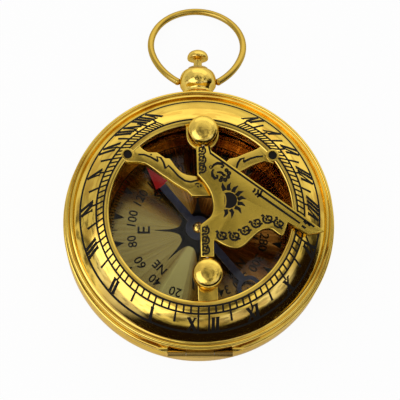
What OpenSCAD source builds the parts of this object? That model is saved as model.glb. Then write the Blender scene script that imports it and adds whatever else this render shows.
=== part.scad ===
// Pocket sundial compass in polished brass, lying on its back with the lid shut.
// The sundial is the lid: a domed hour ring with a window, hinged at six o'clock
// and let go by a push button in the pendant at twelve o'clock.
// Millimetres, +Z up, +Y towards the pendant, origin in the middle of the base.

/* [Case] */
// Outer diameter of the case
case_d = 60; // [57:0.5:66]
// Height of the case, from its base to the flange that carries the lid
case_h = 10.8; // [10.6:0.1:12.5]
// Wall of the case
case_wall = 2.8; // [2.5:0.1:3]
// Thickness of the case's floor
floor_t = 1.6; // [1.2:0.1:1.8]
// Width of the round edge under the case
base_round_w = 4; // [3:0.25:4.5]
// Height of the round edge under the case
base_round_h = 3.4; // [2.5:0.1:3.8]
// Thickness of the lip that centres the lid
lip_t = 0.6; // [0.5:0.05:0.7]
// Height of that lip above the flange
lip_h = 0.9; // [0.6:0.05:1]
// Width of the gutter round the compass, where the springs and the catch are
gutter_w = 3.2; // [3.1:0.1:3.6]

/* [Compass] */
// Wall of the ring that carries the glass
ring_wall = 2.4; // [2.2:0.1:3]
// Height of that ring above the floor
ring_h = 6.9; // [6.4:0.1:7.1]
// Thickness of the ring's foot, which fills the case from side to side
ring_foot_t = 1.6; // [1.3:0.1:1.8]
// Thickness of the printed card
card_t = 0.9; // [0.6:0.1:1]
// How far the ring covers the card's edge
card_cover = 0.8; // [0.5:0.1:1]
// Thickness of the glass
glass_t = 1; // [0.8:0.1:1.2]
// Width of the step that the glass lies on
glass_step_w = 1.5; // [1.1:0.1:1.6]
// Height of the bezel ring above the glass
bezel_h = 0.7; // [0.5:0.05:0.8]

/* [Needle] */
// Gap between the arrow's point and the compass ring
tip_gap = 3.2; // [2:0.1:5]
// Gap between the tail ring and the compass ring
tail_gap = 1.1; // [0.7:0.1:3]
// Width of the needle's bars
needle_w = 1.7; // [1:0.1:2]
// Thickness of the needle's steel
needle_t = 0.3; // [0.2:0.05:0.4]
// Length of the red arrowhead
arrow_l = 5.5; // [4:0.1:7]
// Width of the red arrowhead
arrow_w = 3.3; // [2.4:0.1:4]
// Outer diameter of the ring on the tail
tail_ring_d = 5.4; // [4:0.1:6]
// Diameter of the needle's middle disc
hub_d = 5.6; // [4.4:0.1:6.4]
// Height of the needle above the card
needle_lift = 2.3; // [1.8:0.1:2.5]
// Where the needle points, anticlockwise from the pendant
needle_turn = 39.5; // [0:0.5:360]

/* [Lid] */
// Width of the lid's edge inside the case's flange
lid_inset = 0.65; // [0.4:0.05:0.8]
// Thickness of the lid's side wall
lid_wall = 1.25; // [1:0.05:1.35]
// Thickness of the hour ring
lid_t = 1.3; // [1:0.05:1.5]
// Width of the band with the numerals
numeral_w = 3.55; // [3.2:0.05:4]
// Height of the hour ring's crest above the case's flange
dome_h = 8; // [7.6:0.1:9]
// Width of the rolled edge inside the minute track
rolled_w = 1.15; // [0.9:0.05:1.4]
// Width of the minute track
track_w = 1.6; // [1.2:0.05:2]
// How far the track falls towards the numerals
track_fall = 1; // [0.7:0.05:1.2]
// How far the numeral band falls towards the rim
band_fall = 1.7; // [1.4:0.05:2]
// Width of the plain rim outside the numerals
rim_w = 3.3; // [3:0.05:3.6]
// How far the hollow inside the rim lies below the numerals
cove_fall = 2; // [1.6:0.05:2.2]
// Radius of the round bead on the rim
bead_r = 0.45; // [0.35:0.05:0.55]

/* [Bridge] */
// Thickness of the pierced bridge and the two tongues
bridge_t = 1.2; // [1:0.05:1.4]
// How far their top lies below the crest
bridge_drop = 0.6; // [0.5:0.05:0.9]
// Diameter of the two round bosses at the bridge's ends
boss_d = 2.9; // [2.6:0.1:3.4]
// Diameter of the hole in each boss
boss_hole_d = 1.9; // [1.2:0.05:2]
// How far the bosses' middles lie outside the window's edge
boss_out = 0.55; // [0.3:0.05:0.8]
// Where the bosses are, as the angle from the dial's cross line
boss_angle = 38.9; // [37:0.1:41]
// Width of the tongue under the lower knob
tongue_w = 4.3; // [3.6:0.1:5]

/* [Gnomon] */
// Distance of the knobs' middles from the window's edge, on average
knob_inset = 3.8; // [3.6:0.05:4.2]
// How far the middle of the knobs lies towards the pendant
post_shift_y = 1.7; // [1.5:0.1:1.9]
// How far the knobs' line lies to the right of the dial's middle
dial_shift_x = 0.95; // [0.6:0.05:1.2]
// How far the knobs' line is turned anticlockwise
dial_turn = 1.5; // [0:0.1:2]
// How far the gnomon's point reaches over the minute track
point_over = 3.55; // [2.5:0.05:4]
// Diameter of the domed knobs
knob_d = 6.6; // [6:0.1:7]
// Height of the knob's dome above the pivot pin
knob_top = 2.4; // [1.8:0.1:3]
// Diameter of the knob's shank
shank_d = 2; // [1.6:0.1:2.4]
// Diameter of the nuts under the lid
nut_d = 3.6; // [3:0.1:3.8]
// Thickness of the nuts
nut_t = 0.9; // [0.7:0.1:1]
// Thickness of the gnomon's plate
gnomon_t = 1.4; // [1.2:0.05:1.6]
// Height of the folded plate above the crest
gnomon_lift = 0.7; // [0.5:0.05:1.1]
// Latitude that the dial is cut for, the slope of the shadow edge
latitude = 51.9; // [50:0.1:54]
// Diameter of the pivot pins
pin_d = 0.8; // [0.6:0.05:0.9]
// Depth of the pins in the knobs
pin_depth = 1.8; // [1.2:0.1:2]
// Furthest that the gnomon folds, from lying to the right
gnomon_range = 180; // [90:5:180]

/* [Hinge] */
// Diameter of the hinge's barrel
knuckle_d = 1.7; // [1.6:0.05:2]
// Diameter of the hinge pin
hinge_pin_d = 0.8; // [0.7:0.05:1]
// Length of the whole barrel
hinge_w = 14; // [12:0.2:16]
// Length of the lid's knuckle in the middle
lid_knuckle_w = 6; // [5.4:0.1:7]
// How far the hinge's axis lies inside the case's edge
hinge_inset = 0.5; // [0.3:0.05:0.6]
// Radius of the trough that the barrel lies in, cut across the lid's edge and the flange
trough_r = 1.2; // [1.1:0.05:1.4]
// Thickness of the lift spring's steel
spring_t = 0.4; // [0.3:0.05:0.5]

/* [Pendant and button] */
// How far the pendant's axis lies below the case's flange
crown_drop = 2.8; // [2.6:0.05:3.1]
// Diameter of the pendant's ball
ball_d = 8.5; // [8.2:0.1:9]
// Distance of the ball's middle from the case
ball_off = 3.9; // [3.7:0.1:4.4]
// Length of the ball beyond its middle
ball_l = 3.15; // [2.9:0.05:3.3]
// Diameter of the pendant's collar against the case
collar_d = 6.6; // [6:0.1:7]
// Diameter of the button's stem
stem_d = 2; // [1.6:0.1:2.2]
// Diameter of the mushroom button
button_d = 4.8; // [4:0.1:5.4]
// Length of the mushroom
button_l = 3.3; // [2.8:0.1:4]
// Gap between the button and the ball, which the button can travel
button_gap = 1.15; // [1.05:0.05:1.5]
// Diameter of the spring round the stem
button_spring_d = 3.3; // [3:0.05:3.4]
// Thickness of the catch's steel
hook_t = 0.7; // [0.5:0.05:0.8]
// Width of the catch
hook_w = 4.6; // [4:0.1:5]

/* [Bail] */
// Diameter of the bail's wire
bail_wire_d = 1.5; // [1.3:0.05:1.7]
// Radius of the bail's round end, at the middle of the wire
bail_r = 10.8; // [10:0.1:12]
// Length from the pivot to the far end, at the middle of the wire
bail_l = 21.9; // [21:0.1:23.5]
// How far the bail's elbows stand outside the ball
elbow_out = 0.44; // [0.35:0.05:0.7]
// Diameter of the pins in the ball
bail_pin_d = 1.2; // [1:0.05:1.3]

/* [Hidden] */
$fn = 96;

// Fits: a seat is a still joint, a fit runs, and eps is an overcut
seat = 0.05;
fit = 0.05;
eps = 0.2;
lid_gap = 0.1;

brass = "#d9ac3c";
dark_brass = "#a9842c";
steel = "#8b9097";
blued = "#23262f";

// Case
case_r = case_d / 2;
cavity_r = case_r - case_wall;
base_flat_r = case_r - base_round_w;
flange_round = 0.4;
groove_z = case_h - 1.6;
groove_d = 0.25;
lip_r = cavity_r + lip_t;
lip_notch_w = hook_w + 2.2;
tail_w = 4.4;
crown_hole_r = 2.3;

// Compass
ring_r = cavity_r - gutter_w;
bore_r = ring_r - ring_wall;
card_r = bore_r + card_cover;
card_z = floor_t + card_t;
glass_r = bore_r + glass_step_w;
glass_z = floor_t + ring_h - glass_t - 0.2;
glass_top = glass_z + glass_t;
bezel_lap = 0.9;
needle_z = card_z + needle_lift;
needle_tip_l = bore_r - tip_gap;
needle_tail_l = bore_r - tail_gap - tail_ring_d / 2;
pivot_r = 0.45;
pivot_foot_r = 1.2;
pivot_low = floor_t * 0.45;
cap_r = 1.35;
cap_h = 0.9;

// Lid
lid_z = case_h + lid_gap;
lid_r = case_r - lid_inset;
lid_in_r = lid_r - lid_wall;
band_r = lid_r - rim_w;
track_r = band_r - numeral_w;
crest_r = track_r - track_w;
window_r = crest_r - rolled_w;
crest_z = case_h + dome_h;
track_z = crest_z - track_fall;
band_z = track_z - band_fall;
cove_z = band_z - cove_fall;
bead_c = lid_r - bead_r;
bridge_z = crest_z - bridge_drop;
bridge_low = bridge_z - bridge_t;
boss_x = (window_r + boss_out) * cos(boss_angle);
boss_y = (window_r + boss_out) * sin(boss_angle);
// The bridge and the gnomon are drawn for this window and grow with it
drawn_window_r = 19.75;
window_k = window_r / drawn_window_r;

// Gnomon
gnomon_z = crest_z + gnomon_lift + gnomon_t / 2;
knob_r = knob_d / 2;
post_v = window_r - knob_inset;
arm_gap = 0.25;
arm_v = post_v - knob_r - arm_gap;
tab_r = knob_r + 0.3;
foot_r = knob_r * 0.82;
neck_r = knob_r * 0.72;
gnomon_reach = track_r - dial_shift_x + point_over;

// Hinge
hinge_y = -(case_r - hinge_inset);
hinge_z = case_h;
knuckle_r = knuckle_d / 2;
case_knuckle_w = (hinge_w - lid_knuckle_w) / 2 - 0.1;
block_h = 1.95;
block_low = hinge_z - knuckle_r - 0.15 - block_h;
block_back = 1.6;
lug_h = 1.9;

// Button and catch
crown_z = case_h - crown_drop;
ball_y = case_r + ball_off;
ball_end = ball_y + ball_l;
bush_r = 2.3;
bush_t = 0.85;
chamber_r = button_spring_d / 2 + 0.2;
chamber_y = case_r - 0.5;
stem_r = stem_d / 2;
button_y = ball_end + button_gap;
stop_collar_t = 0.5;
hook_y = cavity_r - 0.85;
hook_low = crown_z - 1.3;
nose_t = 0.6;
catch_t = 0.9;
catch_z = case_h + 0.2;
catch_r = cavity_r - 0.3;
nose_r = catch_r - 0.15;
nose_z = catch_z + catch_t + 0.1;

// Bail, in its own plane: v runs from the pivot line to the far end
wire_r = bail_wire_d / 2;
bail_c = bail_l - bail_r;
// Each leg is the arc that leaves the round end smoothly and meets the pivot line at its elbow
leg_start = 75;
bail_end_x = ball_d / 2 + elbow_out;
leg_more_r = (pow(bail_end_x, 2) + pow(bail_c, 2) - pow(bail_r, 2))
    / 2 / (bail_r - bail_end_x * sin(leg_start) - bail_c * cos(leg_start));
bail_leg_r = bail_r + leg_more_r;
leg_cx = -leg_more_r * sin(leg_start);
leg_cv = bail_c + leg_more_r * cos(leg_start);
leg_end = atan2(bail_end_x - leg_cx, leg_cv);
bail_tilt = asin((crown_z - wire_r - 0.01) / bail_l);
bail_hole_r = bail_pin_d / 2 + fit;
bail_hole_x = chamber_r + 0.6;
leg_swell = 0.02;
elbow_r = wire_r + 0.06;

// A point on a circle, an arc of points, and a cubic curve of points
function on_circle(c, r, a) = [c[0] + r * cos(a), c[1] + r * sin(a)];
function arc(c, r, a0, a1, n = 12) = [for (i = [0:n]) on_circle(c, r, a0 + (a1 - a0) * i / n)];
function oval(c, rx, ry, a0, a1, n = 12) = [for (i = [0:n])
    [c[0] + rx * cos(a0 + (a1 - a0) * i / n), c[1] + ry * sin(a0 + (a1 - a0) * i / n)]];
function curve(a, b, c, d, n = 8) = [for (i = [0:n]) let (t = i / n)
    pow(1 - t, 3) * a + 3 * t * pow(1 - t, 2) * b + 3 * t * t * (1 - t) * c + t * t * t * d];

module turned(points, turn = 360) {
    rotate_extrude(angle = turn)
        polygon(points);
}

// A bar between two radii, z0 to z1, over a part of the circle
module arc_band(r0, r1, z0, z1, a0, a1) {
    rotate([0, 0, a0])
        turned([[r0, z0], [r1, z0], [r1, z1], [r0, z1]], a1 - a0);
}

// A cylinder along Y that starts at y0 and ends at y1, on the pendant's axis
module along_crown(r, y0, y1) {
    translate([0, y0, crown_z])
        rotate([-90, 0, 0])
            cylinder(r = r, h = y1 - y0);
}

// A cylinder along X, on the hinge's axis
module along_hinge(r, x0, x1) {
    translate([x0, hinge_y, hinge_z])
        rotate([0, 90, 0])
            cylinder(r = r, h = x1 - x0);
}

// Places something in the gnomon's frame: u to the right, v along the knobs' line
module on_dial() {
    translate([dial_shift_x, post_shift_y, 0])
        rotate([0, 0, dial_turn])
            children();
}

module case_bowl() {
    color(brass)
    difference() {
        turned(concat(
            [[0, 0]],
            oval([base_flat_r, base_round_h], base_round_w, base_round_h, -90, 0),
            [[case_r, groove_z - groove_d], [case_r - groove_d, groove_z], [case_r, groove_z + groove_d]],
            arc([case_r - flange_round, case_h - flange_round], flange_round, 0, 90, 5),
            [[lip_r, case_h], [lip_r, case_h + lip_h - 0.2], [lip_r - 0.2, case_h + lip_h],
            [cavity_r, case_h + lip_h], [cavity_r, floor_t], [0, floor_t]]));
        along_crown(crown_hole_r + 0.02, cavity_r - 1, case_r + 1);
        translate([-lip_notch_w / 2, cavity_r - 1.2, case_h])
            cube([lip_notch_w, 2, lip_h + eps]);
        translate([-tail_w / 2 - 0.3, -lip_r - 0.4, case_h])
            cube([tail_w + 0.6, 2, lip_h + eps]);
        along_hinge(trough_r, -case_r, case_r);
        translate([-hinge_w / 2 - seat, hinge_y - 1.5, block_low - seat])
            cube([hinge_w + 2 * seat, block_back + 1.5 + seat, case_h - block_low + lip_h + eps]);
        translate([0, 0, pivot_low - seat])
            cylinder(r = pivot_r + 0.02, h = floor_t);
    }
}

module case_knuckles() {
    color(brass)
    difference() {
        union() {
            intersection() {
                translate([-hinge_w / 2, hinge_y - 1, block_low])
                    cube([hinge_w, block_back + 1, block_h]);
                cylinder(r = case_r, h = case_h);
            }
            for (side = [-1, 1])
                translate([side * (hinge_w - case_knuckle_w) / 2, 0, 0]) {
                    along_hinge(knuckle_r, -case_knuckle_w / 2, case_knuckle_w / 2);
                    translate([-case_knuckle_w / 2, hinge_y - knuckle_r * 0.7, block_low + block_h - 0.5])
                        cube([case_knuckle_w, knuckle_r * 1.6, hinge_z - block_low - block_h + 0.5]);
                }
        }
        along_hinge(hinge_pin_d / 2, -hinge_w, hinge_w);
    }
}

module hinge_pin() {
    color(steel)
    along_hinge(hinge_pin_d / 2, -hinge_w / 2, hinge_w / 2);
}

// Bent steel strip in the gutter whose tip lifts the lid's tail
spring_r = cavity_r - 0.5;
spring_low = floor_t + ring_foot_t + 0.05;
spring_foot = 209;
module lift_spring() {
    color(steel)
    difference() {
        union() {
            difference() {
                arc_band(spring_r - spring_t, spring_r, spring_low, catch_z - 0.05, spring_foot - 4, 270);
                arc_band(spring_r - 1, spring_r + 1, 0, spring_low + 3.2, spring_foot + 4, 280);
                arc_band(spring_r - 1, spring_r + 1, case_h - 0.8, case_h * 2, spring_foot - 10, 266.5);
            }
            arc_band(ring_r + 0.35, spring_r - 0.1, spring_low, spring_low + spring_t, spring_foot - 3, spring_foot + 3);
        }
        rotate([0, 0, spring_foot])
            translate([ring_r + 1.35, 0, 0])
                cylinder(r = 0.5, h = crown_z - 2);
    }
}

module spring_screw() {
    color(steel)
    rotate([0, 0, spring_foot])
        translate([ring_r + 1.35, 0, 0])
            difference() {
                union() {
                    translate([0, 0, floor_t + 0.1])
                        cylinder(r = 0.48, h = spring_low + spring_t - floor_t);
                    translate([0, 0, spring_low + spring_t])
                        cylinder(r = 0.85, h = 0.7);
                }
                translate([-1, -0.12, spring_low + spring_t + 0.45])
                    cube([2, 0.24, 1]);
            }
}

module compass_card() {
    color(dark_brass)
    translate([0, 0, floor_t])
        difference() {
            cylinder(r = card_r, h = card_t);
            translate([0, 0, -eps])
                cylinder(r = pivot_r + 0.02, h = card_t + 2 * eps);
        }
}

// Steel pin with a foot on the card, pressed through the card into the floor
module needle_pivot() {
    color(steel)
    turned([[0, pivot_low], [pivot_r, pivot_low], [pivot_r, card_z], [pivot_foot_r, card_z], [pivot_foot_r, card_z + 0.35],
        [pivot_r, card_z + 0.7], [pivot_r, needle_z - 0.5], [0, needle_z + 0.35]]);
}

module compass_ring() {
    color(brass)
    difference() {
        turned([[bore_r, card_z], [card_r + seat, card_z], [card_r + seat, floor_t], [cavity_r - seat, floor_t],
            [cavity_r - seat, floor_t + ring_foot_t], [ring_r, floor_t + ring_foot_t],
            [ring_r, floor_t + ring_h], [glass_r + seat, floor_t + ring_h],
            [glass_r + seat, glass_z], [bore_r, glass_z]]);
        rotate([0, 0, spring_foot])
            translate([ring_r + 1.35, 0, 0])
                cylinder(r = 0.5, h = spring_low + eps);
    }
}

module compass_glass() {
    color("#d8e6e8", 0.35)
    translate([0, 0, glass_z])
        cylinder(r = glass_r, h = glass_t);
}

// Turned ring pressed over the glass
module glass_bezel() {
    color(brass)
    turned(concat(
        [[glass_r - bezel_lap, glass_top], [glass_r + seat, glass_top], [glass_r + seat, floor_t + ring_h],
        [ring_r, floor_t + ring_h]],
        oval([(ring_r + glass_r - bezel_lap) / 2, floor_t + ring_h], (ring_r - glass_r + bezel_lap) / 2,
            bezel_h, 0, 180)));
}

// The crown's ball with its collar against the case and its spigot through the wall
module pendant() {
    color(brass)
    difference() {
        union() {
            along_crown(crown_hole_r, cavity_r + 0.1, case_r + 1);
            difference() {
                translate([0, 0, crown_z])
                    rotate([-90, 0, 0])
                        turned(concat(
                            [[0, case_r - 1], [collar_d / 2, case_r - 1], [collar_d / 2, case_r + 0.9],
                            [collar_d / 2 - 0.2, case_r + 1.05]],
                            arc([0, ball_y], ball_d / 2, -asin((ball_off - 1.2) / (ball_d / 2)),
                                asin(ball_l / (ball_d / 2)), 20),
                            [[0, ball_end]]));
                cylinder(r = case_r, h = case_h * 2);
            }
        }
        along_crown(chamber_r, chamber_y, ball_end - bush_t - seat);
        along_crown(stem_r + fit, 0, ball_end + 1);
        along_crown(bush_r, ball_end - bush_t, ball_end + 1);
        for (side = [-1, 1])
            translate([0, ball_y, crown_z])
                rotate([0, side * 90, 0]) {
                    translate([0, 0, bail_hole_x])
                        cylinder(r = bail_hole_r, h = ball_d);
                    translate([0, 0, bail_end_x - elbow_r - 0.1])
                        cylinder(r = elbow_r + 0.15, h = ball_d);
                }
    }
}

// Threaded bush that closes the spring's chamber
module stem_bush() {
    color(dark_brass)
    difference() {
        along_crown(bush_r, ball_end - bush_t, ball_end);
        along_crown(stem_r + fit, 0, ball_end + 1);
    }
}

// Spring round the stem, swept along a helix with flat ends on its two seats
coil_turns = 8;
coil_wire = 0.36;
coil_sides = 6;
coil_steps = 14;
coil_y0 = chamber_y + coil_wire / 2 + 0.03;
coil_y1 = ball_end - bush_t - seat - stop_collar_t - coil_wire / 2 - 0.03;
module button_spring() {
    n = coil_turns * coil_steps;
    r = (button_spring_d - coil_wire) / 2;
    points = [for (i = [0:n], j = [0:coil_sides - 1])
        let (a = 360 * i / coil_steps, b = 360 * j / coil_sides, q = r + coil_wire / 2 * cos(b))
        [q * cos(a), coil_y0 + (coil_y1 - coil_y0) * i / n + coil_wire / 2 * sin(b), q * sin(a)]];
    sides = [for (i = [0:n - 1], j = [0:coil_sides - 1])
        let (k = (j + 1) % coil_sides, p = i * coil_sides, q = p + coil_sides)
        [[p + j, p + k, q + k], [p + j, q + k, q + j]]];
    color(steel)
    translate([0, 0, crown_z])
        polyhedron(points = points, faces = concat(
            [for (pair = sides, face = pair) face],
            [for (j = [1:coil_sides - 2]) [0, j + 1, j]],
            [for (j = [1:coil_sides - 2]) [n * coil_sides, n * coil_sides + j, n * coil_sides + j + 1]]));
}

// Mushroom button, its stem, the stop collar and the riveted end that holds the catch
module push_button() {
    color(brass)
    translate([0, 0, crown_z])
        rotate([-90, 0, 0])
            turned(concat(
                [[0, hook_y - hook_t - 0.35], [0.9, hook_y - hook_t - 0.35], [0.9, hook_y - hook_t], [0.6, hook_y - hook_t],
                [0.6, hook_y], [stem_r, hook_y], [stem_r, ball_end - bush_t - seat - stop_collar_t],
                [chamber_r - 0.15, ball_end - bush_t - seat - stop_collar_t],
                [chamber_r - 0.15, ball_end - bush_t - seat],
                [stem_r, ball_end - bush_t - seat], [stem_r, button_y], [stem_r + 0.4, button_y + 0.12]],
                curve([button_d / 2 - 0.5, button_y + 0.6], [button_d / 2, button_y + 0.9],
                    [button_d / 2 + 0.05, button_y + button_l * 0.55],
                    [button_d / 2 - 0.15, button_y + button_l * 0.72]),
                curve([button_d / 2 - 0.25, button_y + button_l * 0.78], [button_d * 0.4, button_y + button_l * 0.95],
                    [button_d * 0.2, button_y + button_l], [0, button_y + button_l])));
}

// Steel plate on the stem's end, with a nose that holds the lid's catch down
module latch_hook() {
    color(steel)
    difference() {
        union() {
            translate([-hook_w / 2, hook_y - hook_t, hook_low])
                cube([hook_w, hook_t, nose_z + nose_t - hook_low]);
            intersection() {
                translate([-hook_w / 2, hook_y - hook_t, nose_z])
                    cube([hook_w, 3, nose_t]);
                cylinder(r = nose_r, h = case_h * 2);
            }
        }
        along_crown(0.6, 0, case_r);
    }
}

// One flatter leg of the bail, with the round end that its pin stands on
module bail_leg() {
    translate([leg_cx, leg_cv, 0])
        rotate([0, 0, leg_end - 90])
            rotate_extrude(angle = leg_start - leg_end)
                translate([bail_leg_r, 0])
                    circle(r = wire_r + leg_swell, $fn = 32);
    translate([bail_end_x, 0, 0])
        sphere(r = elbow_r, $fn = 32);
    translate([bail_hole_x + 0.2, 0, 0])
        rotate([0, 90, 0])
            cylinder(r = bail_pin_d / 2, h = bail_end_x - bail_hole_x - 0.2);
}

module bail() {
    color(brass)
    translate([0, ball_y, crown_z])
        rotate([-bail_tilt, 0, 0]) {
            translate([0, bail_c, 0])
                rotate([0, 0, leg_start - 91])
                    rotate_extrude(angle = 362 - 2 * leg_start)
                        translate([bail_r, 0])
                            circle(r = wire_r, $fn = 32);
            bail_leg();
            mirror([1, 0, 0])
                bail_leg();
        }
}

// Steel needle with a red arrow, a disc in the middle and a ring on its tail
module compass_needle() {
    head_y = needle_tip_l - arrow_l;
    color(blued)
    translate([0, 0, needle_z])
        rotate([0, 0, needle_turn])
            linear_extrude(needle_t)
                difference() {
                    union() {
                        circle(d = hub_d);
                        translate([-needle_w / 2, -needle_tail_l, 0])
                            square([needle_w, needle_tail_l + head_y + 0.5]);
                        polygon([[-arrow_w / 2, head_y], [arrow_w / 2, head_y], [0, needle_tip_l]]);
                        translate([0, -needle_tail_l])
                            circle(d = tail_ring_d);
                    }
                    circle(r = cap_r - 0.4);
                    translate([0, -needle_tail_l])
                        circle(d = tail_ring_d - 1.8);
                }
}

// Brass cap with the cone that runs on the pivot's point
module needle_cap() {
    color(brass)
    turned(concat(
        [[0, needle_z + 0.42], [pivot_r + 0.2, needle_z - 0.3], [cap_r - 0.42, needle_z - 0.3],
        [cap_r - 0.42, needle_z + needle_t], [cap_r, needle_z + needle_t]],
        oval([0, needle_z + needle_t], cap_r, cap_h, 15, 90, 6)));
}

// Outline of the bridge: two arms like spread wings that meet under the gnomon
function left_arm() = concat(
    [[-16.4, 11.15], [-13.6, 11.1]],
    curve([-12, 10.75], [-10.4, 9.9], [-9.4, 8.9], [-8.1, 8]),
    curve([-7.2, 7.4], [-5.4, 6], [-3.6, 5], [-2.6, 4.45]),
    [[-1.85, 3.45], [0.95, 3.45], [0.95, 7.9]],
    curve([-1.2, 8], [-3.4, 8], [-4.5, 9.2], [-5, 9.7]),
    curve([-5.5, 10.3], [-6, 11.1], [-6.3, 11.6], [-6.7, 12]),
    [[-7.6, 12], [-9.4, 13.35], [-10.9, 13.35]],
    curve([-11.4, 13.4], [-12.4, 13.9], [-12.9, 14.3], [-13.2, 14.9]),
    [[-14.8, 14.35]]);
function right_arm() = concat(
    [[16.4, 10.85]],
    curve([16, 10.75], [15, 11.4], [14, 11.45], [13.2, 11.2]),
    curve([12, 10.8], [10.4, 10], [9.4, 9.4], [8.7, 9.05]),
    curve([7.4, 8.3], [5.6, 6.8], [4.6, 5.4], [4.1, 4.4]),
    [[3.75, 3.45], [0.95, 3.45], [0.95, 7.9]],
    curve([2.4, 8], [3.6, 8.8], [4.4, 9.8], [5, 10.6]),
    [[6.3, 12], [7.9, 12.35]],
    curve([9.8, 13.2], [11.2, 13.8], [12.4, 14.1], [13.2, 14.9]),
    [[14.8, 14.35]]);

// Domed hour ring that is also the lid: window, bridge, two tongues and two bosses
module hour_ring_lid() {
    color(brass)
    difference() {
        union() {
            turned(concat(
                [[lid_in_r, lid_z], [lid_r - 0.3, lid_z], [lid_r, lid_z + 0.3]],
                arc([bead_c, cove_z], bead_r, 0, 150, 10),
                curve([bead_c - bead_r, cove_z - 0.05], [bead_c - bead_r - 0.7, cove_z - 0.1],
                    [band_r + 1.2, cove_z + 0.5], [band_r, band_z]),
                curve([band_r - 0.4, band_z + 0.15], [band_r - 1.4, band_z + 0.6],
                    [track_r + 1, track_z - 0.45], [track_r, track_z]),
                curve([track_r - 0.5, track_z + 0.32], [crest_r + 0.6, crest_z - 0.3],
                    [crest_r + 0.3, crest_z], [crest_r - 0.1, crest_z]),
                curve([crest_r - 0.3, crest_z], [window_r + 0.3, crest_z - 0.05],
                    [window_r, crest_z - 0.4], [window_r, bridge_z - 0.2]),
                [[window_r, bridge_low], [crest_r + 0.1, bridge_low], [track_r, track_z - lid_t],
                [band_r - 0.3, band_z - lid_t], [lid_in_r, cove_z - lid_t * 0.7]]));
            translate([0, 0, bridge_low])
                linear_extrude(bridge_t)
                    difference() {
                        union() {
                            polygon(window_k * left_arm());
                            polygon(window_k * right_arm());
                        }
                        difference() {
                            circle(r = case_r);
                            circle(r = crest_r);
                        }
                    }
            for (side = [-1, 1])
                translate([side * boss_x, boss_y, bridge_low])
                    cylinder(d = boss_d, h = crest_z + 0.1 - bridge_low);
            intersection() {
                on_dial() {
                    translate([-tab_r, post_v, bridge_low])
                        cube([2 * tab_r, tab_r * 2, bridge_t]);
                    translate([0, post_v, bridge_low])
                        cylinder(r = tab_r, h = bridge_t);
                    translate([-tongue_w / 2, -post_v - tab_r * 2, bridge_low])
                        cube([tongue_w, tab_r * 2, bridge_t]);
                    translate([0, -post_v, bridge_low])
                        cylinder(r = tongue_w / 2 + 0.3, h = bridge_t);
                }
                cylinder(r = crest_r, h = crest_z);
            }
        }
        for (side = [-1, 1])
            translate([side * boss_x, boss_y, 0])
                cylinder(d = boss_hole_d, h = crest_z * 2);
        on_dial()
            for (side = [-1, 1])
                translate([0, side * post_v, 0]) {
                    cylinder(r = shank_d / 2 + 0.02, h = crest_z * 2);
                    translate([0, 0, bridge_z])
                        cylinder(r = foot_r + seat, h = crest_z);
                }
        along_hinge(trough_r, -case_r, case_r);
        translate([-lid_knuckle_w / 2, hinge_y - 1, lid_z - eps])
            cube([lid_knuckle_w, block_back + 1, lug_h + eps]);
    }
}

// Middle knuckle with its lug in the lid's wall and the tail that the spring lifts
module lid_knuckle() {
    color(brass)
    difference() {
        union() {
            along_hinge(knuckle_r, -lid_knuckle_w / 2, lid_knuckle_w / 2);
            intersection() {
                translate([-lid_knuckle_w / 2 + seat, hinge_y, catch_z])
                    cube([lid_knuckle_w - 2 * seat, block_back - seat, lid_z + lug_h - seat - catch_z]);
                cylinder(r = lid_r - 0.02, h = crest_z);
            }
            translate([-tail_w / 2, hinge_y + block_back - 1, catch_z])
                cube([tail_w, -hinge_y - block_back + 1 - spring_r + spring_t + 0.3, catch_t]);
        }
        along_hinge(hinge_pin_d / 2 + fit, -hinge_w, hinge_w);
    }
}

// Ledge inside the lid, opposite the hinge, that the catch's nose holds down
module lid_catch() {
    color(brass)
    intersection() {
        translate([-hook_w / 2 - 0.4, 0, catch_z])
            cube([hook_w + 0.8, case_r, catch_t]);
        difference() {
            cylinder(r = lid_in_r, h = crest_z);
            cylinder(r = catch_r, h = crest_z * 2);
        }
    }
}

// Turned knob with a domed head, a neck, a foot on the tongue and a shank below it
module knob(direction) {
    head_low = bridge_z + 0.95;
    difference() {
        turned(concat(
            [[0, bridge_low - nut_t - 0.25], [shank_d / 2, bridge_low - nut_t - 0.25], [shank_d / 2, bridge_z],
            [foot_r, bridge_z], [foot_r, bridge_z + 0.35], [neck_r, bridge_z + 0.55], [neck_r, head_low - 0.1],
            [knob_r - 0.35, head_low], [knob_r - 0.05, head_low + 0.3], [knob_r, head_low + 0.7],
            [knob_r, gnomon_z + 0.3]],
            oval([0, gnomon_z + 0.3], knob_r - 0.12, knob_top - 0.3, 12, 90, 10)));
        translate([0, direction * (knob_r + 1), gnomon_z])
            rotate([direction * 90, 0, 0])
                cylinder(r = pin_d / 2 + fit, h = pin_depth + 0.1 + 1);
    }
}

module upper_knob() {
    color(brass)
    on_dial()
        translate([0, post_v, 0])
            mirror([0, 1, 0])
                knob(1);
}

module lower_knob() {
    color(brass)
    on_dial()
        translate([0, -post_v, 0])
            knob(1);
}

module knob_nuts() {
    color(dark_brass)
    on_dial()
        for (side = [-1, 1])
            translate([0, side * post_v, bridge_low - nut_t - seat])
                difference() {
                    cylinder(d = nut_d, h = nut_t, $fn = 6);
                    translate([0, 0, -eps])
                        cylinder(r = shank_d / 2 + 0.02, h = nut_t + 2 * eps);
                }
}

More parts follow.
